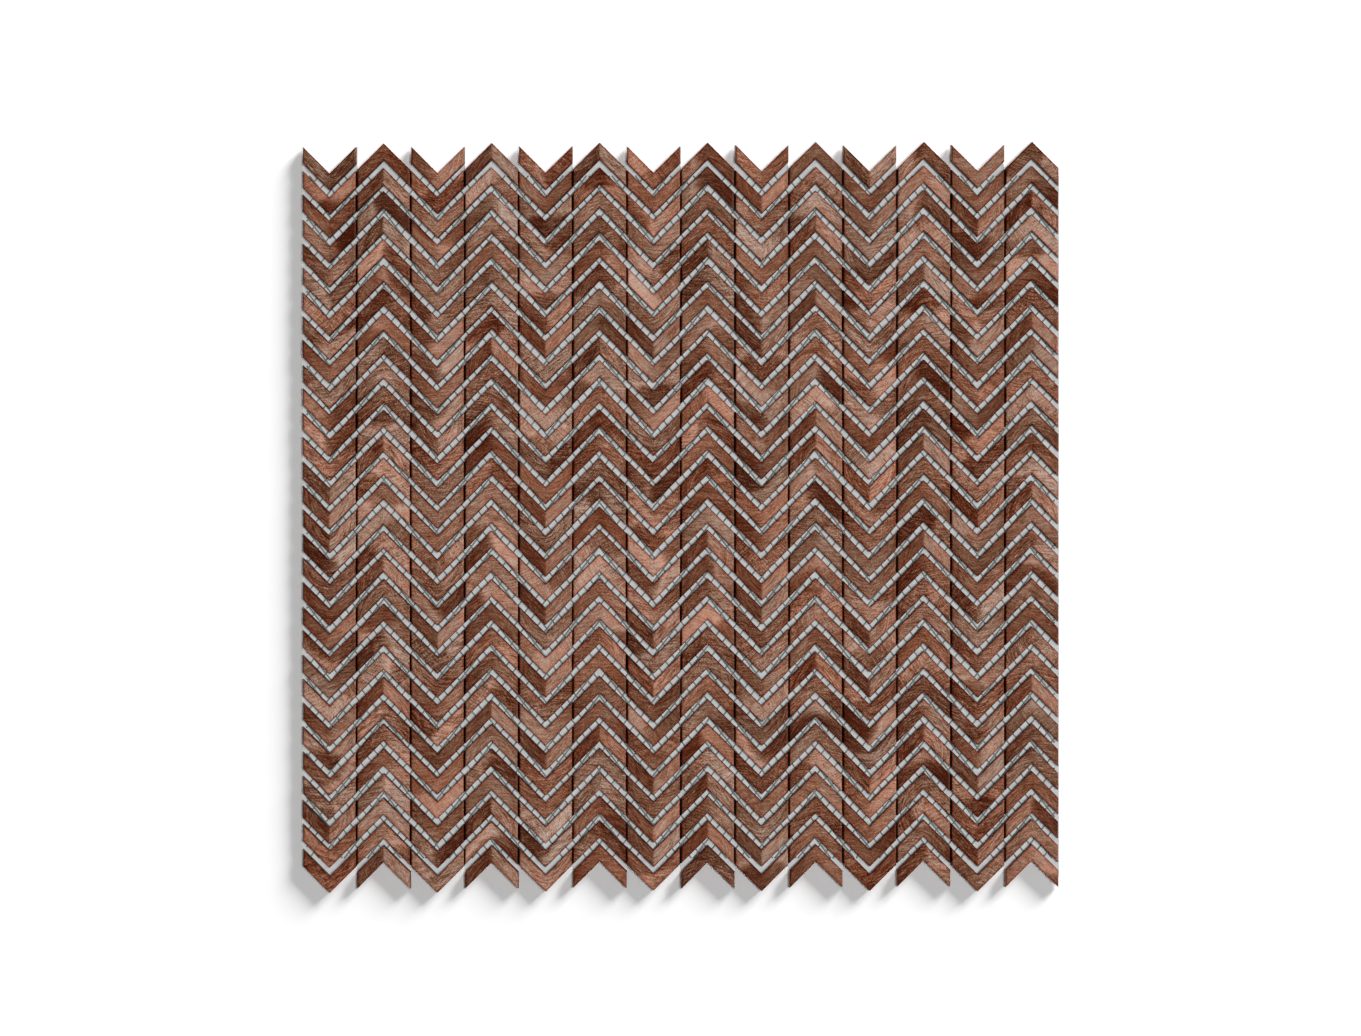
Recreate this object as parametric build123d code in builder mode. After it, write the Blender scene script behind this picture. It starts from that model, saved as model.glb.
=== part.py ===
"""Copper chevron mosaic tile: one sheet of brushed copper chevrons on an open backing mesh.

Units are millimetres. The sheet lies flat with its faces up: +X runs across the columns,
+Y runs up each column, and the origin is under the centre of the sheet, on the surface it lies on.
"""

import os
from math import cos, floor, radians, sin, tan

from build123d import *

# Sheet layout
columns = 14
rows = 30

# One copper chevron
tile_width = 21.0
leg_width = 4.75
leg_angle = 45.0
tile_thickness = 4.4
edge_bevel = 0.35

# Gaps between chevrons
joint_width = 2.05
seam_width = 0.45

# Backing mesh: two layers of straight glass strands, laid on the bias
strand_width = 0.45
strand_thickness = 0.3
strand_pitch = 3.65
strand_angle = 52.0
mesh_inset = 1.0

# Worked out from the sizes above
slope = tan(radians(leg_angle))
leg_height = leg_width / cos(radians(leg_angle))
row_pitch = (leg_width + joint_width) / cos(radians(leg_angle))
column_pitch = tile_width + seam_width
column_rise = column_pitch / 2 * slope
tile_base = 2 * strand_thickness
sheet_width = columns * column_pitch - seam_width
notch_level = rows / 2 * row_pitch - column_rise + leg_height / 2
mesh_width = sheet_width - 2 * mesh_inset
mesh_height = 2 * (notch_level - mesh_inset)


def chevron_outline():
    """Corners of a chevron that points down, about the middle of its bend."""
    reach = tile_width / 2
    rise = reach * slope
    half_leg = leg_height / 2
    return [
        (-reach, rise + half_leg),
        (-reach, rise - half_leg),
        (0, -half_leg),
        (reach, rise - half_leg),
        (reach, rise + half_leg),
        (0, half_leg),
    ]


def bend_places(column):
    """Middle of the bend of each chevron in a column, from the top row to the bottom one.

    Even columns point down and odd columns point up, one row lower, so that the joints run
    on from column to column as one zigzag line.
    """
    x = (column - (columns - 1) / 2) * column_pitch
    points_up = column % 2 == 1
    first_seam = (rows / 2 - 1) * row_pitch if points_up else rows / 2 * row_pitch
    bend_offset = column_rise if points_up else -column_rise
    return [(x, first_seam - row * row_pitch + bend_offset) for row in range(rows)]


def strand_count(tilt):
    """Odd number of strands that cover the mesh when they lean by tilt degrees from +Y."""
    span = mesh_width * cos(radians(tilt)) + mesh_height * sin(radians(tilt))
    return 2 * floor((span - strand_pitch) / (2 * strand_pitch)) + 1


def lay_strands(name, turn, level):
    """One layer of parallel strands, trimmed to the outline of the mesh."""
    with BuildPart() as strands:
        with BuildSketch(Plane.XY.offset(level)):
            with Locations(Location((0, 0, 0), (0, 0, turn))):
                with GridLocations(strand_pitch, 0, strand_count(abs(turn)), 1):
                    Rectangle(strand_width, mesh_width + mesh_height)
            Rectangle(mesh_width, mesh_height, mode=Mode.INTERSECT)
        extrude(amount=strand_thickness)
    strands.part.label = name
    export_step(strands.part, f"parts/{name}.step")


def set_column(name, column):
    """One column of chevrons, all pointing the same way."""
    turn = 180 * (column % 2)
    with BuildPart() as tiles:
        with Locations(*bend_places(column)):
            add(chevron.part, rotation=(0, 0, turn))
    tiles.part.label = name
    export_step(tiles.part, f"parts/{name}.step")


os.makedirs("parts", exist_ok=True)

lay_strands("mesh_lower_strands", strand_angle - 90, 0)
lay_strands("mesh_upper_strands", 90 - strand_angle, strand_thickness)

# The chevron that every column repeats, standing on the mesh, with its upper edges bevelled
with BuildPart() as chevron:
    with BuildSketch(Plane.XY.offset(tile_base)):
        Polygon(*chevron_outline(), align=None)
    extrude(amount=tile_thickness)
    chamfer(chevron.faces().sort_by(Axis.Z)[-1].edges(), length=edge_bevel)

for index in range(columns):
    set_column(f"chevron_column_{index + 1:02d}", index)
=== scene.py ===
"""Brushed copper chevron mosaic sheet on its backing mesh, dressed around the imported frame.

Lengths are metres unless a name says otherwise. +X runs across the columns, +Y up each column and
+Z out of the copper faces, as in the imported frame.
"""

from __future__ import annotations

import logging
import math
from dataclasses import dataclass, field
from enum import Enum

import bpy
import numpy as np
from bpy.types import ID, Material, Mesh, Node, NodeTree, Object
from bpy.types import NodeSocket as Socket
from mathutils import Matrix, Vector

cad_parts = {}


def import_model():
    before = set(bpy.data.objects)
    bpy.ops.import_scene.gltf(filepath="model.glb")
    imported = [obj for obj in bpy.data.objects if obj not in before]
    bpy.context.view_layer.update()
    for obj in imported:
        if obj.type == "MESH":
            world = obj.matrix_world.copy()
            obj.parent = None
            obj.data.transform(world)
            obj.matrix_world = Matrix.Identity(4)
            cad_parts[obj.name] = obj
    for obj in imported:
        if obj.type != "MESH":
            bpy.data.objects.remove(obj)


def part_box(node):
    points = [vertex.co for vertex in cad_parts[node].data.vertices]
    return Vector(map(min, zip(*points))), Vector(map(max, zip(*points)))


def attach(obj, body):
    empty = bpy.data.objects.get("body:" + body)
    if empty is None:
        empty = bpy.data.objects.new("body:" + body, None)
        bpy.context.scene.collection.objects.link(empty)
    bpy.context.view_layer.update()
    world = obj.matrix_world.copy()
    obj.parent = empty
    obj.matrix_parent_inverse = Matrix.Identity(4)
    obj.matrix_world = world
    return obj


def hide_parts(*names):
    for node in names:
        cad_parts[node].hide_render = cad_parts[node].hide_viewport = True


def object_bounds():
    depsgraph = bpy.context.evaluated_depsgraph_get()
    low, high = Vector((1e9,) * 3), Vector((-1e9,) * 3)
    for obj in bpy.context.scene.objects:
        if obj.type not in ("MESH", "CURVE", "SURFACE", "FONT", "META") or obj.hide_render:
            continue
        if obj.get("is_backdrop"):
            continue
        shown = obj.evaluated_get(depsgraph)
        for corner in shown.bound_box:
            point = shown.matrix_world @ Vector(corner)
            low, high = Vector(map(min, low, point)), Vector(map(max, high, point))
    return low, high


LOG = logging.getLogger("mosaic")

BODY = "root"
MM = 0.001
PHOTO_WIDTH = 1361
PHOTO_SHEET_WIDTH = 755.5
SEED = 4127
FACE_SLOT = 0
FLANK_SLOT = 1

Colour = tuple[float, float, float]
Corner = tuple[float, float]
Span = tuple[float, float]


class BrushStyle(Enum):
    """How the face of one chevron was brushed; some styles also carry painted light and shade."""

    CROSS = "fine marks across the sheet, in slight arcs"
    # SWEEP and HATCH turn from dark to pale along an arc, which is a painted reflection; SWEEP adds a
    # painted gleam.
    SWEEP = "arcs that turn from dark to pale across the face"
    # SPLIT: the dark left leg and the pale right leg are painted shade and light, as if lit from the
    # right.
    SPLIT = "one leg dark and brushed along, the other leg pale"
    HATCH = "pale face with marks square to each leg"


STYLE_SHARES: dict[BrushStyle, float] = {
    BrushStyle.CROSS: 0.46,
    BrushStyle.SWEEP: 0.28,
    BrushStyle.SPLIT: 0.16,
    BrushStyle.HATCH: 0.10,
}


@dataclass(frozen=True)
class BrushMarks:
    """One kind of brush mark: its size in millimetres, how finely it breaks up and its weight."""

    length: float
    width: float
    detail: float
    weight: float


@dataclass(frozen=True)
class CopperFinish:
    """Colours and brushing of the copper faces; a reach is a distance from the edge in millimetres."""

    deepest: Colour = (0.050, 0.010, 0.004)
    dark: Colour = (0.088, 0.020, 0.009)
    middle: Colour = (0.224, 0.099, 0.055)
    pale: Colour = (0.470, 0.272, 0.200)
    palest: Colour = (0.620, 0.400, 0.310)
    ramp_margin: float = 0.35
    # The dark red rim along every edge is painted shade of the rounded edges.
    rim: Colour = (0.85, 0.39, 0.27)
    rim_weight: float = 0.9
    rim_reach: float = 1.0
    # Painted shade that darkens the left end of each face and the rounded lips beside the joints.
    end_and_lip_shade: Colour = (0.30, 0.24, 0.22)
    end_reach: Span = (0.20, 0.58)
    lip_weight: float = 0.65
    lip_reach: Span = (0.10, 0.42)
    # Painted highlight added along the right end of each face, as if lit from the right.
    glint: Colour = (0.095, 0.044, 0.029)
    glint_reach: Span = (0.50, 0.95)
    glint_mottle: Span = (0.1, 0.9)
    glint_low: float = 0.45
    cool: Colour = (0.94, 1.10, 1.18)
    warm: Colour = (1.06, 0.88, 0.80)
    roughness_low: float = 0.30
    roughness_high: float = 0.46
    streaks: BrushMarks = BrushMarks(5.0, 0.55, 2.5, 0.59)
    hairs: BrushMarks = BrushMarks(2.2, 0.34, 2.5, 0.58)
    bands: BrushMarks = BrushMarks(8.0, 2.8, 0.4, 0.17)
    mottle_grain: float = 0.5 * MM
    mottle_weight: float = 0.63
    patch_grain: float = 3.5 * MM
    bump_strength: float = 0.22
    bump_height: float = 0.04 * MM


@dataclass(frozen=True)
class FlankFinish:
    """Colours of the sides and backs of the chevrons: near black in the joints as painted shade, cut
    copper round the sheet.
    """

    # The near black colours of the sides in the joints are painted shade.
    dark: Colour = (0.016, 0.009, 0.007)
    light: Colour = (0.060, 0.032, 0.022)
    cut_dark: Colour = (0.080, 0.030, 0.017)
    cut_light: Colour = (0.300, 0.140, 0.090)
    grain: float = 1.6 * MM
    cut_grain: float = 0.6 * MM
    cut_stretch: tuple[float, float, float] = (1.0, 1.0, 0.12)
    metallic: float = 0.7
    roughness: float = 0.50
    bump_strength: float = 0.4
    bump_height: float = 0.04 * MM


@dataclass(frozen=True)
class YarnFinish:
    """Colours of the glass yarn in the backing mesh."""

    dark: Colour = (0.15, 0.172, 0.155)
    light: Colour = (0.54, 0.57, 0.54)
    fibres: BrushMarks = BrushMarks(3.0, 0.09, 2.5, 0.6)
    mottle_grain: float = 4.0 * MM
    mottle_weight: float = 0.4
    roughness: float = 0.55
    bump_strength: float = 0.5
    bump_height: float = 0.03 * MM


@dataclass(frozen=True)
class StageFinish:
    """White floor, the underlay in the joints and the studio dome."""

    floor: Colour = (0.86, 0.86, 0.86)
    roughness: float = 0.9
    specular: float = 0.1
    underlay_glow: float = 0.13
    underlay_grain: float = 3.0 * MM
    ambient: float = 0.08
    dome_high: float = 0.98
    dome_low: float = 0.22
    dome_bright_side: float = 1.0
    dome_rise: Span = (0.02, 0.50)
    glow_reach: Span = (0.15, 0.75)


class Graph:
    """A shader node tree that is being wired."""

    def __init__(self, tree: NodeTree) -> None:
        """Start on the node tree of a material, a world or a group."""
        self.tree = tree

    def node(self, kind: str, **values: object) -> Node:
        """Add a node.

        Args:
            kind: Blender's name of the node type.
            values: Settings of the node itself, such as blend_type.

        Returns:
            The new node.
        """
        made = self.tree.nodes.new(kind)
        for name, value in values.items():
            setattr(made, name, value)
        return made

    def join(self, source: Socket, target: Socket) -> None:
        """Link an output to an input."""
        self.tree.links.new(source, target)

    def stored(self, name: str, output: str = "Fac") -> Socket:
        """Read a value that is stored on the mesh."""
        return self.node("ShaderNodeAttribute", attribute_name=name).outputs[output]

    def math(self, kind: str, first: object, second: object) -> Socket:
        """Combine two numbers.

        Args:
            kind: Blender's name of the operation.
            first: A number or an output socket.
            second: A number or an output socket.

        Returns:
            The result.
        """
        made = self.node("ShaderNodeMath", operation=kind)
        for socket, value in zip(made.inputs, (first, second)):
            self.feed(socket, value)
        return made.outputs[0]

    def mix(self, factor: object, first: object, second: object, kind: str = "MIX") -> Socket:
        """Blend two colours.

        Args:
            factor: Share of the second colour, a number or a socket.
            first: A colour or a socket.
            second: A colour or a socket.
            kind: Blender's name of the way they blend.

        Returns:
            The blended colour.
        """
        made = self.node("ShaderNodeMix", data_type="RGBA", blend_type=kind)
        self.feed(made.inputs["Factor"], factor)
        # The colour sockets share their names with the sockets for numbers, so they go by place
        self.feed(made.inputs[6], first)
        self.feed(made.inputs[7], second)
        return made.outputs[2]

    def spread(self, value: Socket, low: float, high: float, to_low: float, to_high: float) -> Socket:
        """Stretch a range of values to another range, clamped.

        Args:
            value: Socket that is read.
            low: Value that becomes to_low.
            high: Value that becomes to_high.
            to_low: First end of the result.
            to_high: Last end of the result.

        Returns:
            The stretched value.
        """
        made = self.node("ShaderNodeMapRange")
        self.feed(made.inputs["Value"], value)
        ends = {"From Min": low, "From Max": high, "To Min": to_low, "To Max": to_high}
        for name, number in ends.items():
            made.inputs[name].default_value = number
        return made.outputs["Result"]

    def feed(self, socket: Socket, value: object) -> None:
        """Give an input its value.

        Args:
            socket: The input.
            value: A socket, a number or a colour.
        """
        if isinstance(value, Socket):
            self.join(value, socket)
        elif isinstance(value, tuple):
            socket.default_value = (*value, 1.0) if len(socket.default_value) == 4 else value
        else:
            socket.default_value = value

    def place(self, group: NodeTree, **inputs: object) -> Node:
        """Place a node group and set its inputs.

        Args:
            group: The group's tree.
            inputs: Value or socket for each named input.

        Returns:
            The group node.
        """
        made = self.node("ShaderNodeGroup", node_tree=group)
        for name, value in inputs.items():
            self.feed(made.inputs[name], value)
        return made


class Surface(Graph):
    """A new material, with a Principled shader joined to its output."""

    def __init__(self, name: str) -> None:
        """Open the material.

        Args:
            name: Name of the material.
        """
        self.material = bpy.data.materials.new(name)
        self.material.use_nodes = True
        super().__init__(self.material.node_tree)
        self.tree.nodes.clear()
        self.shader = self.node("ShaderNodeBsdfPrincipled")
        output = self.node("ShaderNodeOutputMaterial")
        self.join(self.shader.outputs[0], output.inputs["Surface"])

    def set(self, **values: object) -> None:
        """Give inputs of the shader a socket, a number or a colour; underscores stand for spaces."""
        for name, value in values.items():
            self.feed(self.shader.inputs[name.replace("_", " ")], value)

    def bump(self, height: Socket, strength: float, depth: float) -> None:
        """Raise the surface by a pattern.

        Args:
            height: The pattern, from 0 to 1.
            strength: How strongly it shows.
            depth: Its real height.
        """
        made = self.node("ShaderNodeBump")
        made.inputs["Strength"].default_value = strength
        made.inputs["Distance"].default_value = depth
        self.join(height, made.inputs["Height"])
        self.join(made.outputs["Normal"], self.shader.inputs["Normal"])


class SharedEffects:
    """Shader groups that several finishes use."""

    mark_range: Span = (0.28, 0.72)
    mark_roughness: float = 0.6
    mottle_range: Span = (0.3, 0.7)
    mottle_detail: float = 3.0
    mottle_roughness: float = 0.62

    def __init__(self) -> None:
        """Build each group once."""
        self._brush = self._brush_group()
        self._mottle = self._mottle_group()

    def marks(self, graph: Graph, brush: Socket, kind: BrushMarks) -> Socket:
        """Lay one kind of brush mark on a surface that has brush coordinates, from 0 to 1."""
        sizes = {"Length": kind.length, "Width": kind.width, "Detail": kind.detail}
        return graph.place(self._brush, Brush=brush, **sizes).outputs["Marks"]

    def blotches(self, graph: Graph, place: Socket, grain: float) -> Socket:
        """Lay blotches of one grain size on a surface, from 0 to 1."""
        return graph.place(self._mottle, Place=place, Grain=grain).outputs["Mottle"]

    @staticmethod
    def _begin(name: str, vector: str, numbers: list[str], result: str) -> tuple[Graph, Node, Socket]:
        """Open a new group with named sockets.

        Args:
            name: Name of the group.
            vector: Name of its vector input.
            numbers: Names of its number inputs.
            result: Name of the number that it gives.

        Returns:
            The graph, its input node and the socket of its result.
        """
        tree = bpy.data.node_groups.new(name, "ShaderNodeTree")
        tree.interface.new_socket(vector, in_out="INPUT", socket_type="NodeSocketVector")
        for number in numbers:
            tree.interface.new_socket(number, in_out="INPUT", socket_type="NodeSocketFloat")
        tree.interface.new_socket(result, in_out="OUTPUT", socket_type="NodeSocketFloat")
        graph = Graph(tree)
        return graph, graph.node("NodeGroupInput"), graph.node("NodeGroupOutput").inputs[result]

    def _brush_group(self) -> NodeTree:
        """Noise drawn out along the brushing.

        Returns:
            A group that turns brush coordinates into marks from 0 to 1.
        """
        sizes = ["Length", "Width", "Detail"]
        graph, start, end = self._begin("brush_marks", "Brush", sizes, "Marks")
        parts = graph.node("ShaderNodeSeparateXYZ")
        graph.join(start.outputs["Brush"], parts.inputs[0])
        drawn = graph.node("ShaderNodeCombineXYZ")
        for axis, size in (("X", "Length"), ("Y", "Width")):
            graph.join(graph.math("DIVIDE", parts.outputs[axis], start.outputs[size]), drawn.inputs[axis])
        graph.join(parts.outputs["Z"], drawn.inputs["Z"])
        noise = graph.node("ShaderNodeTexNoise")
        noise.inputs["Scale"].default_value = 1.0
        noise.inputs["Roughness"].default_value = self.mark_roughness
        graph.join(start.outputs["Detail"], noise.inputs["Detail"])
        graph.join(drawn.outputs[0], noise.inputs["Vector"])
        graph.join(graph.spread(noise.outputs["Fac"], *self.mark_range, 0.0, 1.0), end)
        return graph.tree

    def _mottle_group(self) -> NodeTree:
        """Even blotches of one grain size.

        Returns:
            A group that turns a place on the object into blotches from 0 to 1.
        """
        graph, start, end = self._begin("mottle", "Place", ["Grain"], "Mottle")
        noise = graph.node("ShaderNodeTexNoise")
        noise.inputs["Detail"].default_value = self.mottle_detail
        noise.inputs["Roughness"].default_value = self.mottle_roughness
        graph.join(start.outputs["Place"], noise.inputs["Vector"])
        graph.join(graph.math("DIVIDE", 1.0, start.outputs["Grain"]), noise.inputs["Scale"])
        graph.join(graph.spread(noise.outputs["Fac"], *self.mottle_range, 0.0, 1.0), end)
        return graph.tree


class Finishes:
    """Materials of the sheet, and the effects that they share with the stage."""

    def __init__(self) -> None:
        """Build the shared effects, then each material."""
        self.effects = SharedEffects()
        self.face = self._copper_face(CopperFinish())
        self.flank = self._copper_flank(FlankFinish())
        self.yarn = self._glass_yarn(YarnFinish())

    def _copper_face(self, finish: CopperFinish) -> Material:
        """Brushed copper whose tone and marks differ from chevron to chevron.

        Args:
            finish: Colours and weights of the brushing.

        Returns:
            The material.
        """
        face = Surface("brushed_copper")
        arcs = face.stored("brush", "Vector")
        draw = face.stored("draw", "Vector")
        place = face.node("ShaderNodeTexCoord").outputs["Object"]
        streaks = self.effects.marks(face, arcs, finish.streaks)
        hairs = self.effects.marks(face, draw, finish.hairs)
        bands = self.effects.marks(face, arcs, finish.bands)
        mottle = self.effects.blotches(face, place, finish.mottle_grain)
        weights = (finish.streaks.weight, finish.hairs.weight, finish.mottle_weight, finish.bands.weight)
        marks = 0.0
        for pattern, weight in zip((streaks, hairs, mottle, bands), weights):
            marks = face.math("ADD", marks, face.spread(pattern, 0.0, 1.0, -weight / 2, weight / 2))
        marks = face.math("MULTIPLY", marks, face.stored("contrast"))
        level = face.math("ADD", face.stored("tone"), marks)
        margin = finish.ramp_margin
        ramp = face.node("ShaderNodeValToRGB")
        ramp.color_ramp.elements[0].color = (*finish.deepest, 1.0)
        ramp.color_ramp.elements[1].color = (*finish.palest, 1.0)
        for stop, colour in ((0.0, finish.dark), (0.5, finish.middle), (1.0, finish.pale)):
            ramp.color_ramp.elements.new((stop + margin) / (1.0 + 2.0 * margin)).color = (*colour, 1.0)
        face.join(face.spread(level, -margin, 1.0 + margin, 0.0, 1.0), ramp.inputs["Fac"])
        patches = face.math("SUBTRACT", self.effects.blotches(face, place, finish.patch_grain), 0.5)
        warmth = face.math("ADD", face.stored("warmth"), patches)
        tint = face.mix(warmth, finish.cool, finish.warm)
        colour = face.mix(1.0, ramp.outputs["Color"], tint, "MULTIPLY")
        # Painted light on the edges: a highlight on the right end, and shade on the rim, the left end and
        # the lips.
        glint, rim, end_and_lip_shade = self._copper_edges(face, finish)
        patchy = face.spread(mottle, *finish.glint_mottle, finish.glint_low, 1.0)
        glint = face.math("MULTIPLY", glint, patchy)
        colour = face.mix(rim, colour, finish.rim, "MULTIPLY")
        colour = face.mix(glint, colour, finish.glint, "ADD")
        colour = face.mix(end_and_lip_shade, colour, finish.end_and_lip_shade, "MULTIPLY")
        roughness = face.spread(streaks, 0.0, 1.0, finish.roughness_high, finish.roughness_low)
        face.set(Base_Color=colour, Metallic=1.0, Roughness=roughness)
        face.bump(face.math("ADD", hairs, streaks), finish.bump_strength, finish.bump_height)
        return face.material

    @staticmethod
    def _copper_edges(face: Surface, finish: CopperFinish) -> tuple[Socket, ...]:
        """Find the edges of a chevron from the distances that are stored on it, in millimetres.

        Args:
            face: The copper that is being made.
            finish: How far in each of them reaches.

        Returns:
            Share of the painted highlight on the right end, of the dark rim of painted edge shade and of
            the painted shade on the left end and lips.
        """
        parts = face.node("ShaderNodeSeparateXYZ")
        face.join(face.stored("edge", "Vector"), parts.inputs[0])
        ends = face.math("MINIMUM", parts.outputs["X"], parts.outputs["Y"])
        nearest = face.math("MINIMUM", ends, parts.outputs["Z"])
        # Painted highlight on the right end, strongest right at the end.
        glint = face.spread(parts.outputs["X"], *finish.glint_reach, 1.0, 0.0)
        glint = face.math("MULTIPLY", glint, face.stored("glint"))
        # The rim is painted shade along every edge, taken off where the painted highlight lies.
        rim = face.spread(nearest, 0.0, finish.rim_reach, finish.rim_weight, 0.0)
        # Painted shade: the left end, as if the light came from the right, and the rounded lips beside the
        # joints.
        left = face.spread(parts.outputs["Y"], *finish.end_reach, 1.0, 0.0)
        lips = face.spread(parts.outputs["Z"], *finish.lip_reach, finish.lip_weight, 0.0)
        rim = face.math("MULTIPLY", rim, face.math("SUBTRACT", 1.0, glint))
        return glint, rim, face.math("MAXIMUM", left, lips)

    def _copper_flank(self, finish: FlankFinish) -> Material:
        """Sides and back of a chevron, painted near black as shade where they face the joints, with the
        marks of the cut where they face outwards.

        Args:
            finish: Colours of the sides.

        Returns:
            The material.
        """
        flank = Surface("copper_sides_with_painted_joint_shade")
        place = flank.node("ShaderNodeTexCoord").outputs["Object"]
        upright = flank.node("ShaderNodeVectorMath", operation="MULTIPLY")
        flank.join(place, upright.inputs[0])
        upright.inputs[1].default_value = finish.cut_stretch
        cuts = self.effects.blotches(flank, upright.outputs[0], finish.cut_grain)
        mottle = self.effects.blotches(flank, place, finish.grain)
        # Painted shade: sides that face the joints are near black; sides that face out are cut copper.
        joint_shade = flank.mix(mottle, finish.dark, finish.light)
        cut = flank.mix(cuts, finish.cut_dark, finish.cut_light)
        outward = flank.stored("outward")
        flank.set(Base_Color=flank.mix(outward, joint_shade, cut))
        flank.set(Metallic=finish.metallic, Roughness=finish.roughness)
        flank.bump(cuts, finish.bump_strength, finish.bump_height)
        return flank.material

    def _glass_yarn(self, finish: YarnFinish) -> Material:
        """Coated glass yarn with fibres along each strand.

        Args:
            finish: Colours of the yarn.

        Returns:
            The material.
        """
        yarn = Surface("glass_yarn")
        brush = yarn.stored("brush", "Vector")
        place = yarn.node("ShaderNodeTexCoord").outputs["Object"]
        fibres = self.effects.marks(yarn, brush, finish.fibres)
        mottle = self.effects.blotches(yarn, place, finish.mottle_grain)
        fibre_share = yarn.math("MULTIPLY", fibres, finish.fibres.weight)
        level = yarn.math("ADD", fibre_share, yarn.math("MULTIPLY", mottle, finish.mottle_weight))
        yarn.set(Base_Color=yarn.mix(level, finish.dark, finish.light), Roughness=finish.roughness)
        yarn.bump(fibres, finish.bump_strength, finish.bump_height)
        return yarn.material


@dataclass
class TileLook:
    """What sets one chevron apart from the next."""

    style: BrushStyle
    tone: float
    warmth: float
    contrast: float
    glint: float
    leg_split: float
    angle: float
    curve: float
    sweep_angle: float
    sweep_offset: float
    sweep_depth: float
    shift: np.ndarray
    turn: float
    tilt: np.ndarray
    seed: float
    waves: np.ndarray

    @classmethod
    def draw(cls, rng: np.random.Generator, points_up: bool) -> TileLook:
        """Draw one chevron's look.

        Args:
            rng: Seeded source of random numbers.
            points_up: Whether the chevron points up; the arcs of its brushing follow its bend.

        Returns:
            The look.
        """
        style = rng.choice(list(STYLE_SHARES), p=list(STYLE_SHARES.values()))
        return cls(
            style=style,
            tone=np.clip(rng.normal(0.465, 0.13), 0.08, 0.92),
            warmth=rng.normal(0.5, 0.22),
            contrast=rng.uniform(0.8, 1.45),
            # glint sets how strong the painted highlight on the right end is.
            glint=rng.uniform(0.0, 1.0),
            # leg_split: the right leg is paler than the left on average, which is painted light from the
            # right; the spread about that mean is random tone.
            leg_split=rng.normal(0.047, 0.095),
            angle=math.radians(rng.normal(6.0, 14.0)),
            curve=rng.normal(0.03 if points_up else -0.03, 0.03),
            sweep_angle=rng.uniform(0.0, 2.0 * math.pi),
            sweep_offset=rng.uniform(-4.0, 4.0),
            sweep_depth=rng.uniform(0.16, 0.36),
            shift=rng.normal(0.0, (0.05, 0.15), 2).clip((-0.08, -0.28), (0.08, 0.28)) * MM,
            turn=math.radians(np.clip(rng.normal(0.0, 0.22), -0.5, 0.5)),
            tilt=np.radians(rng.normal(0.0, 0.45, 2).clip(-0.9, 0.9)),
            seed=rng.uniform(0.0, 500.0),
            waves=rng.uniform(0.0, 2.0 * math.pi, 4),
        )


@dataclass
class FacePlaces:
    """Places on a chevron, in millimetres from its bend and its middle, and the angle of the leg there."""

    x: np.ndarray
    y: np.ndarray
    leg: np.ndarray

    def along(self, angle: float | np.ndarray) -> np.ndarray:
        """Distance of each place along a direction."""
        return self.x * np.cos(angle) + self.y * np.sin(angle)

    def across(self, angle: float | np.ndarray) -> np.ndarray:
        """Distance of each place square to a direction."""
        return self.y * np.cos(angle) - self.x * np.sin(angle)

    def drawn_out(self, angle: float | np.ndarray, curve: float, seed: float) -> np.ndarray:
        """Coordinates along and across marks that bend into arcs, and a seed that sets the marks apart."""
        along = self.along(angle)
        return np.column_stack([along, self.across(angle) + curve * along ** 2, np.full_like(along, seed)])


@dataclass(frozen=True)
class ToneShape:
    """How tone changes over the face of a chevron; a turn is the length of a change, in millimetres."""

    leg_turn: float = 2.5
    end_start: float = 5.5
    end_length: float = 4.5
    end_shade: float = 0.10
    sweep_arc: float = 0.035
    sweep_turn: float = 1.5
    # gleam: the painted highlight band along the arc of SWEEP.
    gleam: float = 0.20
    gleam_place: float = 1.8
    gleam_width: float = 1.0
    split_middle: float = 0.46
    split_depth: float = 0.28
    split_turn: float = 0.3
    split_share: float = 0.5
    hatch_lift: float = 0.16
    hatch_depth: float = 0.20
    hatch_turn: float = 1.6
    cross_depth: float = 0.14
    cross_turn: float = 6.0


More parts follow.
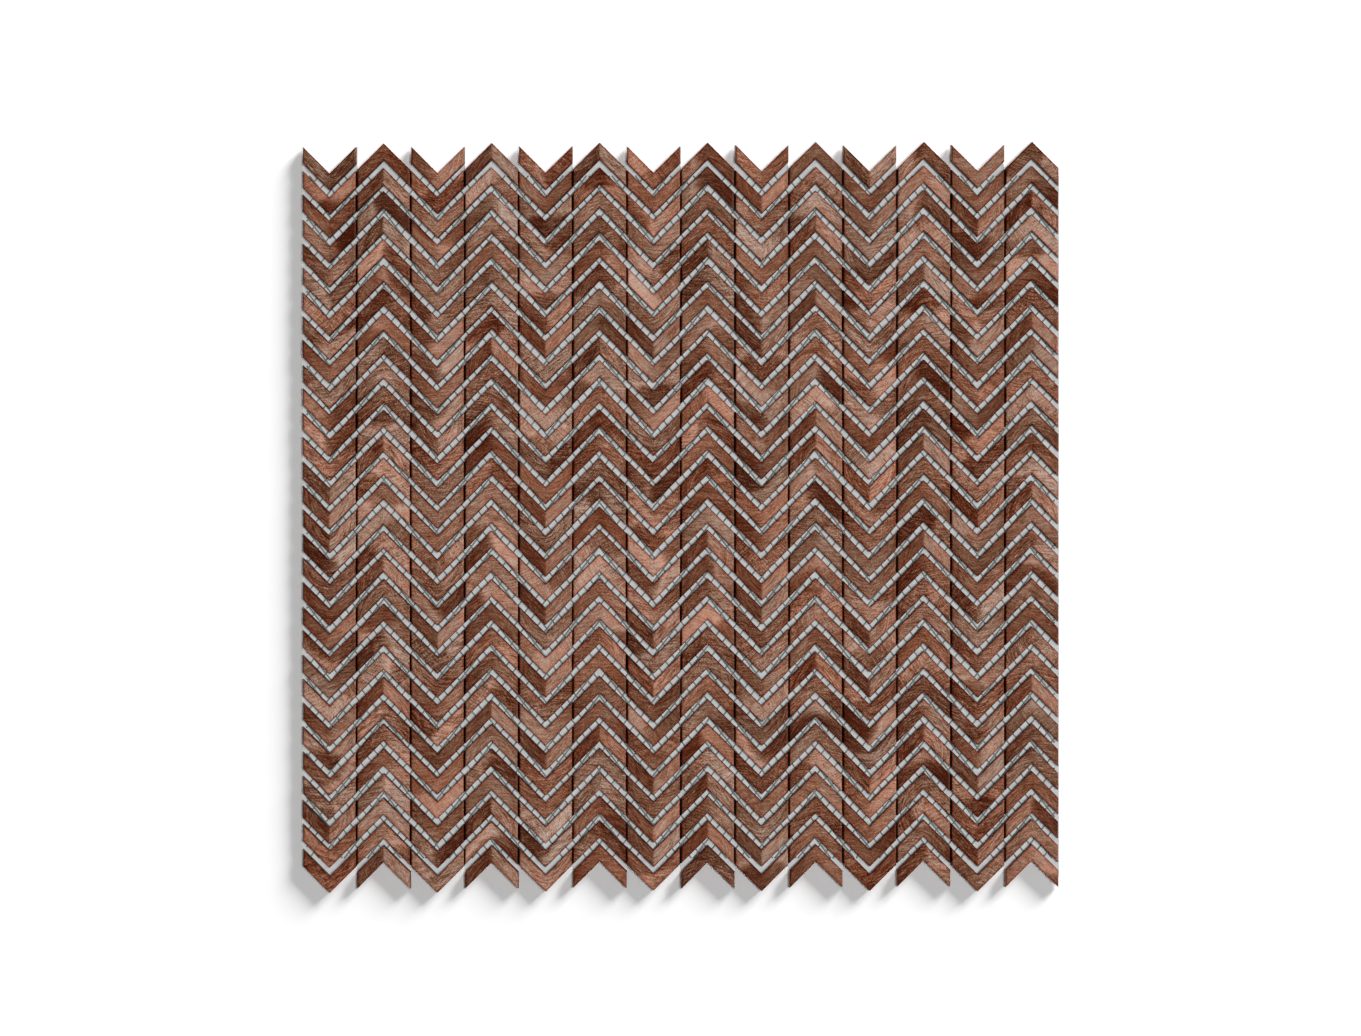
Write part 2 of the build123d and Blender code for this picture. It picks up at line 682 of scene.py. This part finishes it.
@dataclass
class ChevronColumns:
    """The copper chevrons, one mesh for each column."""

    finishes: Finishes
    tones: ToneShape = field(default_factory=ToneShape)
    columns: int = 14
    rows: int = 30
    leg_width: float = 4.75 * MM
    leg_angle: float = math.radians(45.0)
    round_over: float = 0.40 * MM
    base_ease: float = 0.12 * MM
    base_flare: float = 0.22 * MM
    crown: float = 0.05 * MM
    column_drift: float = 0.054 * MM
    fold: float = 0.09 * MM
    wave_height: float = 0.022 * MM
    wave_lengths: tuple[float, float, float] = (2.1 * MM, 1.7 * MM, 3.3 * MM)
    wave_slant: float = 0.6
    split_stray: float = 0.15
    draw_seed: float = 37.0
    bend_crowding: float = 1.25
    cells_across: int = 24
    cells_over: int = 6
    round_steps: int = 3
    copper_rings: int = 2
    rng: np.random.Generator = field(default_factory=lambda: np.random.default_rng(SEED))

    def __post_init__(self) -> None:
        """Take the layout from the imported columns."""
        low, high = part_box(self.node_name(0))
        self.reach = (high.x - low.x) / 2
        self.base, self.top = low.z, high.z
        self.slope = math.tan(self.leg_angle)
        self.half_leg = self.leg_width / math.cos(self.leg_angle) / 2
        self.row_pitch = (high.y - low.y - self.reach * self.slope - 2 * self.half_leg) / (self.rows - 1)
        across = np.linspace(-1.0, 1.0, self.cells_across + 1)
        self.across = np.sign(across) * np.abs(across) ** self.bend_crowding
        self.over = np.linspace(-1.0, 1.0, self.cells_over + 1)
        self.wide, self.high = len(self.across), len(self.over)
        self.border = self._border()
        self.faces, self.face_finish = self._topology()

    @staticmethod
    def node_name(column: int) -> str:
        """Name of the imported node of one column."""
        return f"chevron_column_{column + 1:02d}"

    @staticmethod
    def points_up(column: int) -> bool:
        """Whether the chevrons of one column point up."""
        return column % 2 == 1

    def _border(self) -> np.ndarray:
        """Numbers of the grid points round the outline, anticlockwise."""
        grid = np.arange(self.wide * self.high).reshape(self.wide, self.high)
        return np.concatenate([grid[:-1, 0], grid[-1, :-1], grid[:0:-1, -1], grid[0, :0:-1]])

    def _topology(self) -> tuple[list[list[int]], list[int]]:
        """Faces of one chevron: the top grid, the rings down its sides and the back.

        Returns:
            Point numbers of each face, and the material slot of each face.
        """
        wide, high = self.wide, self.high
        faces: list[list[int]] = []
        finish: list[int] = []
        for i in range(wide - 1):
            for j in range(high - 1):
                corner = i * high + j
                faces.append([corner, corner + high, corner + high + 1, corner + 1])
                finish.append(FACE_SLOT)
        count = len(self.border)
        upper = self.border
        for ring in range(self.round_steps + 2):
            lower = wide * high + ring * count + np.arange(count)
            for k in range(count):
                after = (k + 1) % count
                faces.append([int(upper[k]), int(lower[k]), int(lower[after]), int(upper[after])])
                finish.append(FACE_SLOT if ring < self.copper_rings else FLANK_SLOT)
            upper = lower
        for i in range(wide - 1):
            strip = self._back_strip(upper, i)
            faces += strip
            finish += [FLANK_SLOT] * len(strip)
        return faces, finish

    def _back_strip(self, ring: np.ndarray, cell: int) -> list[list[int]]:
        """One strip of the back, from the lower edge to the upper edge; an end is a fan of triangles.

        Args:
            ring: Point numbers of the lowest ring.
            cell: Which strip, from the left.

        Returns:
            Point numbers of each face of the strip, seen from below.
        """
        long, short = self.cells_across, self.cells_over
        far = 2 * long + short - cell
        near_left, near_right, far_right, far_left = (int(ring[n]) for n in (cell, cell + 1, far - 1, far))
        if cell == 0:
            end = [int(n) for n in ring[far:]] + [near_left]
            fan = [[near_right, after, here] for here, after in zip(end, end[1:])]
            return [*fan, [near_right, far_right, far_left][::-1]]
        if cell == long - 1:
            end = [int(n) for n in ring[long:long + short + 1]]
            fan = [[far_left, after, here] for here, after in zip(end, end[1:])]
            return [*fan, [far_left, near_left, near_right][::-1]]
        return [[far_left, far_right, near_right, near_left]]

    def _outline(self, inset: float, flare: float = 0.0) -> tuple[np.ndarray, np.ndarray]:
        """Places of the grid points of a chevron that points down.

        Args:
            inset: How far the outline lies inside the full chevron.
            flare: How far the two ends lie outside it.

        Returns:
            X and Y of each grid point, about the middle of the bend.
        """
        x = (self.reach - inset + flare) * self.across
        half = self.half_leg - inset / math.cos(self.leg_angle)
        y = np.abs(x)[:, None] * self.slope + half * self.over[None, :]
        return np.repeat(x, len(self.over)), y.ravel()

    def _rest_points(self) -> tuple[np.ndarray, np.ndarray]:
        """Points of a chevron before its own look is added.

        Returns:
            Points, and how fully each follows the face.
        """
        depth = self.top - self.base
        x, y = self._outline(self.round_over)
        points = [np.column_stack([x, y, np.zeros_like(x)])]
        follow = [np.ones(len(x))]
        rings = []
        for step in range(1, self.round_steps + 1):
            angle = math.pi / 2 * step / self.round_steps
            inset = self.round_over * (1 - math.sin(angle))
            rings.append((inset, 0.0, -self.round_over * (1 - math.cos(angle)), 1.0))
        rings.append((0.0, self.base_flare, -depth + self.base_ease, 0.0))
        rings.append((self.base_ease, self.base_flare, -depth, 0.0))
        for inset, flare, height, weight in rings:
            x, y = self._outline(inset, flare)
            ring = np.column_stack([x, y, np.full_like(x, height)])[self.border]
            points.append(ring)
            follow.append(np.full(len(ring), weight))
        return np.concatenate(points), np.concatenate(follow)

    def _tone(self, look: TileLook, places: FacePlaces) -> np.ndarray:
        """Tone of each point of a chevron, from 0, dark, to 1, pale.

        Args:
            look: The chevron's look.
            places: Where the points lie on it.

        Returns:
            The tones.
        """
        rules = self.tones
        # The right leg comes out paler on average: painted light from the right.
        tone = look.tone + look.leg_split * np.tanh(places.x / rules.leg_turn)
        near_end = np.clip((np.abs(places.x) - rules.end_start) / rules.end_length, 0.0, 1.0)
        tone = tone - rules.end_shade * near_end ** 2
        # The arc is where SWEEP and HATCH turn from dark to pale, a painted reflection.
        along = places.along(look.sweep_angle)
        arc = along + rules.sweep_arc * places.across(look.sweep_angle) ** 2 - look.sweep_offset
        if look.style is BrushStyle.SWEEP:
            # A painted gleam: a pale band along the arc.
            gleam = rules.gleam * np.exp(-((arc - rules.gleam_place) / rules.gleam_width) ** 2)
            return tone + look.sweep_depth * np.tanh(arc / rules.sweep_turn) + gleam
        # SPLIT paints the left leg in shade and the right leg pale, as if lit from the right.
        if look.style is BrushStyle.SPLIT:
            own = rules.split_share * (look.tone - rules.split_middle)
            return rules.split_middle + rules.split_depth * np.tanh(places.x / rules.split_turn) + own
        if look.style is BrushStyle.HATCH:
            return tone + rules.hatch_lift + rules.hatch_depth * np.tanh(arc / rules.hatch_turn)
        return tone + rules.cross_depth * np.tanh(along / rules.cross_turn)

    def _brush(self, look: TileLook, places: FacePlaces) -> np.ndarray:
        """Brush coordinates of each point: along the marks, across them and a seed, in millimetres.

        Args:
            look: The chevron's look.
            places: Where the points lie on it.

        Returns:
            One row of three numbers for each point.
        """
        angle = look.angle
        if look.style is BrushStyle.SPLIT:
            angle = places.leg + self.split_stray * look.angle
        elif look.style is BrushStyle.HATCH:
            angle = places.leg + math.pi / 2
        return places.drawn_out(angle, look.curve, look.seed)

    def _outward(self, column: int, row: int) -> np.ndarray:
        """Which points of a chevron lie on sides that face out of the sheet.

        Args:
            column: Which column, from the left.
            row: Which row, from the top.

        Returns:
            1 for each point on an outer side and 0 for the rest.
        """
        points_up = self.points_up(column)
        first, last = row == 0, row == self.rows - 1
        bare = last if points_up else first
        sides = [last, bare or column == self.columns - 1, first, bare or column == 0]
        if points_up:
            sides = sides[2:] + sides[:2]
        lengths = [self.cells_across, self.cells_over, self.cells_across, self.cells_over]
        ring = np.repeat(np.array(sides, float), lengths)
        face = np.zeros(self.wide * self.high)
        return np.concatenate([face, *[ring] * (self.round_steps + 2)])

    def _tile(self, look: TileLook, column: int, row: int) -> dict[str, np.ndarray]:
        """Points and stored values of one chevron.

        Args:
            look: The chevron's look.
            column: Which column, from the left.
            row: Which row, from the top.

        Returns:
            The points as co, and each stored value under its own name.
        """
        centre = self._bend(column, row)
        sign = -1 if self.points_up(column) else 1
        points, follow = self._rest_points()
        x, y = points[:, 0] * sign, points[:, 1] * sign
        cos, sin = np.cos(look.turn * follow), np.sin(look.turn * follow)
        middle = y - np.abs(x) * self.slope * sign
        across, up, slant = self.wave_lengths
        wave = np.sin(x / across + look.waves[0]) * np.sin(y / up + look.waves[1])
        wave += self.wave_slant * np.sin((x + y) / slant + look.waves[2])
        lift = -self.crown * (middle / self.half_leg) ** 2 - self.fold * np.abs(x) / self.reach
        lift += self.wave_height * wave + look.tilt[0] * x + look.tilt[1] * middle
        lift -= lift[follow > 0].max()
        points[:, 2] += self.top + lift * follow
        points[:, 0] = centre[0] + x * cos - y * sin + look.shift[0] * follow
        points[:, 1] = centre[1] + x * sin + y * cos + look.shift[1]
        leg = np.where(x < 0, -self.leg_angle, self.leg_angle) * sign
        places = FacePlaces(x / MM, (y - np.median(y)) / MM, leg)
        side = (self.leg_width / 2 - np.abs(middle) * math.cos(self.leg_angle)) / MM
        plain = {name: np.full(len(x), getattr(look, name)) for name in ("glint", "contrast", "warmth")}
        return plain | {
            "co": points,
            "tone": self._tone(look, places),
            "brush": self._brush(look, places),
            "draw": places.drawn_out(leg, 0.0, look.seed + self.draw_seed),
            "edge": np.column_stack([(self.reach - x) / MM, (self.reach + x) / MM, side]),
            "outward": self._outward(column, row),
        }

    def _bend(self, column: int, row: int) -> np.ndarray:
        """Middle of the bend of one chevron.

        Args:
            column: Which column, from the left.
            row: Which row, from the top.

        Returns:
            Its X and Y.
        """
        low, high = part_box(self.node_name(column))
        arm = 0.0 if self.points_up(column) else self.reach * self.slope
        drift = (column - (self.columns - 1) / 2) * self.column_drift
        first = high.y - self.half_leg - arm + drift
        return np.array([(low.x + high.x) / 2, first - row * self.row_pitch])

    def middle_line(self, row: int, overhang: float) -> list[Corner]:
        """Zigzag through the middles of the chevrons of one row, from left to right.

        Args:
            row: Which row, from the top.
            overhang: How far its two ends stand out sideways.

        Returns:
            Corners of the zigzag.
        """
        corners = []
        reach = self.reach - self.round_over
        for column in range(self.columns):
            x, y = self._bend(column, row)
            end = y + reach * self.slope * (-1 if self.points_up(column) else 1)
            corners += [(x - reach, end), (x, y), (x + reach, end)]
        first, last = corners[0], corners[-1]
        return [(first[0] - overhang, first[1]), *corners[1:-1], (last[0] + overhang, last[1])]

    def build(self, column: int) -> Object:
        """Build one column of chevrons.

        Args:
            column: Which column, from the left.

        Returns:
            The column's object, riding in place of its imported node.
        """
        tiles = []
        for row in range(self.rows):
            look = TileLook.draw(self.rng, self.points_up(column))
            tiles.append(self._tile(look, column, row))
        points = [tile.pop("co") for tile in tiles]
        faces = [[n + k * len(points[0]) for n in f] for k in range(self.rows) for f in self.faces]
        mesh = bpy.data.meshes.new(f"copper_chevrons_{column + 1:02d}")
        mesh.from_pydata(np.concatenate(points), [], faces)
        for name in tiles[0]:
            store(mesh, name, np.concatenate([tile[name] for tile in tiles]))
        mesh.materials.append(self.finishes.face)
        mesh.materials.append(self.finishes.flank)
        mesh.polygons.foreach_set("material_index", self.face_finish * self.rows)
        return piece(mesh, self.node_name(column))


@dataclass
class BackingMesh:
    """The glass mesh on the back, woven from two sets of yarns."""

    finishes: Finishes
    pitch: float = 3.65 * MM
    angle: float = math.radians(52.0)
    yarn_width: float = 0.58 * MM
    yarn_height: float = 0.27 * MM
    weave_share: float = 0.96
    least_step: float = 0.05 * MM
    twist: float = 0.35
    sides: int = 6

    def __post_init__(self) -> None:
        """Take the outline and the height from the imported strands."""
        low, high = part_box("mesh_lower_strands")
        _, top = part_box("mesh_upper_strands")
        self.half_size = np.array([high.x - low.x, high.y - low.y]) / 2
        self.level = (low.z + top.z) / 2
        self.lift = (top.z - low.z - self.yarn_height) / 2 * self.weave_share
        self.crossing = self.pitch / math.sin(math.pi - 2 * self.angle)

    def _span(self, start: np.ndarray, way: np.ndarray) -> Span:
        """First and last distance along a line at which it lies within the mesh."""
        limits = np.sort([(-self.half_size - start) / way, (self.half_size - start) / way], axis=0)
        return float(limits[0].max()), float(limits[1].min())

    def _yarn(self, number: int, lean: int) -> tuple[np.ndarray, np.ndarray] | None:
        """One yarn, passing over and under the yarns that it crosses.

        Args:
            number: Which yarn, counted from the middle one.
            lean: 1 for yarns that rise to the right, -1 for the others.

        Returns:
            Points in rings and their brush coordinates, or None where the yarn misses the mesh.
        """
        way = np.array([lean * math.cos(self.angle), math.sin(self.angle)])
        normal = np.array([way[1], -way[0]])
        start = number * self.pitch * normal
        first, last = self._span(start, way)
        if last - first < 2 * self.yarn_width:
            return None
        offset = number * self.crossing * math.cos(2 * self.angle) * lean
        half = self.crossing / 2
        knots = np.arange(math.ceil((first - offset) / half), math.floor((last - offset) / half) + 1)
        places = np.concatenate([[first], offset + knots * half, [last]])
        places = places[np.concatenate([[True], np.diff(places) > self.least_step])]
        phase = math.pi * (places - offset) / self.crossing + math.pi * number
        height = self.level + lean * self.lift * np.cos(phase)
        turns = np.linspace(0.0, 2.0 * math.pi, self.sides, endpoint=False)
        side = np.cos(turns) * self.yarn_width / 2
        rise = np.sin(turns) * self.yarn_height / 2
        centre = start + places[:, None] * way
        x, y = (centre[:, [axis]] + side * normal[axis] for axis in range(2))
        points = np.stack([x, y, height[:, None] + rise], axis=-1).reshape(-1, 3)
        along = np.repeat(places / MM, self.sides)
        across = np.tile(turns * self.yarn_width / MM / 2, len(places)) + self.twist * along
        return points, np.column_stack([along, across, np.full_like(along, number)])

    def build(self, name: str, node: str, lean: int) -> Object:
        """Build one set of yarns.

        Args:
            name: Name of the piece.
            node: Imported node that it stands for.
            lean: 1 for yarns that rise to the right, -1 for the others.

        Returns:
            The yarns' object.
        """
        reach = int(self.half_size.sum() / self.pitch)
        points, brush, faces = [], [], []
        total = 0
        for number in range(-reach, reach + 1):
            made = self._yarn(number, lean)
            if made is None:
                continue
            points.append(made[0])
            brush.append(made[1])
            faces.extend(self._skin(total, len(made[0]) // self.sides))
            total += len(made[0])
        mesh = bpy.data.meshes.new(name)
        mesh.from_pydata(np.concatenate(points), [], faces)
        store(mesh, "brush", np.concatenate(brush))
        mesh.materials.append(self.finishes.yarn)
        return piece(mesh, node)

    def _skin(self, first: int, rings: int) -> list[list[int]]:
        """Faces of one yarn.

        Args:
            first: Number of its first point.
            rings: How many rings it has.

        Returns:
            Point numbers of each face, with both ends closed.
        """
        faces = []
        for ring in range(rings - 1):
            here = first + ring * self.sides
            for k in range(self.sides):
                after = (k + 1) % self.sides
                faces.append([here + after, here + k, here + k + self.sides, here + after + self.sides])
        last = first + (rings - 1) * self.sides
        faces.append([first + k for k in range(self.sides)])
        faces.append([last + k for k in range(self.sides)][::-1])
        return faces


@dataclass(frozen=True)
class Softbox:
    """A lamp: its bearing from +X and its elevation in degrees, its distance, its size and its watts."""

    name: str
    bearing: float
    elevation: float
    distance: float
    width: float
    height: float
    power: float


@dataclass
class Studio:
    """White floor, soft light and the camera above the sheet."""

    sheet_low: Vector
    sheet_high: Vector
    underlay: list[Corner]
    yarns: list[Object]
    effects: SharedEffects
    finish: StageFinish = field(default_factory=StageFinish)
    overhead: Softbox = Softbox("overhead_softbox", 0.0, 82.0, 2.4, 0.45, 0.45, 28.0)
    key: Softbox = Softbox("key_softbox", 47.0, 22.0, 8.0, 3.0, 3.1, 1215.0)
    camera_height: float = 1.50
    camera_shift: tuple[float, float] = (-0.08 * MM, -0.42 * MM)
    sensor: float = 36.0
    floor_size: float = 8.0
    floor_level: float = -0.2 * MM
    underlay_level: float = -0.1 * MM

    def build(self) -> None:
        """Set the stage."""
        half = self.floor_size / 2
        square = [(-half, -half), (half, -half), (half, half), (-half, half)]
        self._board("floor", square, self.floor_level, None)
        underlay = self._board("underlay", self.underlay, self.underlay_level, self.finish.underlay_glow)
        self._dome()
        self._lamp(self.overhead)
        self._leave_out(self._lamp(self.key), [underlay, *self.yarns])
        self._camera()
        bpy.context.scene.view_settings.view_transform = "Standard"

    @staticmethod
    def _leave_out(lamp: Object, objects: list[Object]) -> None:
        """Keep a lamp's light off some objects.

        Args:
            lamp: The lamp.
            objects: What it doesn't light.
        """
        group = bpy.data.collections.new(f"{lamp.name}_leaves_out")
        lamp.light_linking.receiver_collection = group
        for item in objects:
            group.objects.link(item)
        for link in group.collection_objects:
            link.light_linking.link_state = "EXCLUDE"

    def _board(self, name: str, outline: list[Corner], level: float, glow: float | None) -> Object:
        """Lay a white board that keeps the shadow of the sheet.

        Args:
            name: Name of the board.
            outline: Its corners, anticlockwise.
            level: Height at which it lies.
            glow: Light that it adds in blotches where it is seen; None makes it white far from the sheet.

        Returns:
            The board.
        """
        mesh = bpy.data.meshes.new(name)
        mesh.from_pydata([(x, y, level) for x, y in outline], [], [list(range(len(outline)))])
        board = put(name, mesh)
        board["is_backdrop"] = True
        white = Surface(f"white_{name}")
        path = white.node("ShaderNodeLightPath")
        seen = white.math("MAXIMUM", path.outputs["Is Camera Ray"], path.outputs["Is Glossy Ray"])
        seen = white.math("MAXIMUM", seen, path.outputs["Is Transmission Ray"])
        finish = self.finish
        if glow is None:
            reach = white.node("ShaderNodeVectorMath", operation="LENGTH")
            white.join(white.node("ShaderNodeNewGeometry").outputs["Position"], reach.inputs[0])
            glow = white.spread(reach.outputs["Value"], *finish.glow_reach, 0.0, 1.0)
            glow.node.interpolation_type = "SMOOTHERSTEP"
            sheen: object = (1.0, 1.0, 1.0)
        else:
            place = white.node("ShaderNodeTexCoord").outputs["Object"]
            blotches = self.effects.blotches(white, place, finish.underlay_grain)
            sheen = white.mix(blotches, (0.0, 0.0, 0.0), (1.0, 1.0, 1.0))
        white.set(Base_Color=finish.floor, Roughness=finish.roughness, Specular_IOR_Level=finish.specular)
        white.set(Emission_Color=sheen, Emission_Strength=white.math("MULTIPLY", seen, glow))
        mesh.materials.append(white.material)
        return board

    def _dome(self) -> None:
        """Light the room: even above, and low down darker at the upper left than at the lower right."""
        world = bpy.data.worlds.new("studio_dome")
        bpy.context.scene.world = world
        world.use_nodes = True
        world.node_tree.nodes.clear()
        graph = Graph(world.node_tree)
        finish = self.finish
        path = graph.node("ShaderNodeLightPath")
        way = graph.node("ShaderNodeSeparateXYZ")
        graph.join(graph.node("ShaderNodeTexCoord").outputs["Generated"], way.inputs[0])
        side = graph.math("SUBTRACT", way.outputs["X"], way.outputs["Y"])
        low = graph.spread(side, -1.0, 1.0, finish.dome_low, finish.dome_bright_side)
        high = graph.spread(way.outputs["Z"], *finish.dome_rise, 0.0, 1.0)
        rest = graph.math("MULTIPLY", graph.math("SUBTRACT", 1.0, high), low)
        dome = graph.math("ADD", graph.math("MULTIPLY", high, finish.dome_high), rest)
        seen = graph.math("ADD", path.outputs["Is Camera Ray"], path.outputs["Is Transmission Ray"])
        strength = graph.math("MULTIPLY", path.outputs["Is Glossy Ray"], dome)
        strength = graph.math("ADD", strength, seen)
        plain = graph.math("SUBTRACT", 1.0, graph.math("MAXIMUM", seen, path.outputs["Is Glossy Ray"]))
        strength = graph.math("ADD", strength, graph.math("MULTIPLY", plain, finish.ambient))
        background = graph.node("ShaderNodeBackground")
        background.inputs["Color"].default_value = (1.0, 1.0, 1.0, 1.0)
        graph.join(strength, background.inputs["Strength"])
        output = graph.node("ShaderNodeOutputWorld")
        graph.join(background.outputs[0], output.inputs["Surface"])

    @staticmethod
    def _lamp(softbox: Softbox) -> Object:
        """Hang a softbox that faces the sheet and that the copper doesn't mirror.

        Args:
            softbox: The lamp's place, size and power.

        Returns:
            The lamp.
        """
        bearing, elevation = math.radians(softbox.bearing), math.radians(softbox.elevation)
        level = math.cos(elevation)
        way = Vector((math.cos(bearing) * level, math.sin(bearing) * level, math.sin(elevation)))
        place = way * softbox.distance
        light = bpy.data.lights.new(softbox.name, "AREA")
        light.shape = "RECTANGLE"
        light.size, light.size_y = softbox.width, softbox.height
        light.energy = softbox.power
        lamp = put(softbox.name, light)
        lamp.location = place
        lamp.rotation_euler = (-place).to_track_quat("-Z", "Y").to_euler()
        lamp.visible_glossy = False
        return lamp

    def _camera(self) -> None:
        """Look straight down on the middle of the sheet, framed as in the photo."""
        width = self.sheet_high.x - self.sheet_low.x
        frame_width = width * PHOTO_WIDTH / PHOTO_SHEET_WIDTH
        data = bpy.data.cameras.new("camera")
        data.sensor_width = self.sensor
        data.sensor_fit = "HORIZONTAL"
        data.lens = self.sensor * self.camera_height / frame_width
        camera = put("camera", data)
        middle = (self.sheet_low + self.sheet_high) / 2
        place = Vector((*self.camera_shift, self.sheet_high.z + self.camera_height))
        camera.location = Vector((middle.x, middle.y, 0.0)) + place
        bpy.context.scene.camera = camera


def put(name: str, data: ID) -> Object:
    """Put a mesh, a lamp or a camera in the scene.

    Args:
        name: Name of the new object.
        data: What it shows.

    Returns:
        The new object.
    """
    made = bpy.data.objects.new(name, data)
    bpy.context.scene.collection.objects.link(made)
    return made


def store(mesh: Mesh, name: str, values: np.ndarray) -> None:
    """Store a number or three numbers for each point of a mesh.

    Args:
        mesh: The mesh.
        name: Name that materials read it by.
        values: One row for each point.
    """
    kind, key = ("FLOAT", "value") if values.ndim == 1 else ("FLOAT_VECTOR", "vector")
    attribute = mesh.attributes.new(name, kind, "POINT")
    attribute.data.foreach_set(key, np.asarray(values, np.float32).ravel())


def piece(mesh: Mesh, node: str) -> Object:
    """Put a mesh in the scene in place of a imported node.

    Args:
        mesh: The finished mesh.
        node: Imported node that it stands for.

    Returns:
        The new object.
    """
    mesh.polygons.foreach_set("use_smooth", np.ones(len(mesh.polygons), dtype=bool))
    mesh.update()
    made = put(mesh.name, mesh)
    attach(made, BODY)
    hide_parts(node)
    LOG.info("%s: %d faces, stands for %s", made.name, len(mesh.polygons), node)
    return made


def main() -> None:
    """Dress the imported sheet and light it."""
    logging.basicConfig(level=logging.INFO, format="%(name)s: %(message)s")
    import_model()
    cad_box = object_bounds()
    finishes = Finishes()
    chevrons = ChevronColumns(finishes)
    for column in range(chevrons.columns):
        chevrons.build(column)
    backing = BackingMesh(finishes)
    yarns = [
        backing.build("backing_weft_yarns", "mesh_lower_strands", 1),
        backing.build("backing_warp_yarns", "mesh_upper_strands", -1),
    ]
    overhang = 1.1 * MM
    underlay = chevrons.middle_line(chevrons.rows - 1, overhang) + chevrons.middle_line(0, overhang)[::-1]
    Studio(*cad_box, underlay, yarns, finishes.effects).build()


if __name__ == "__main__":
    main()
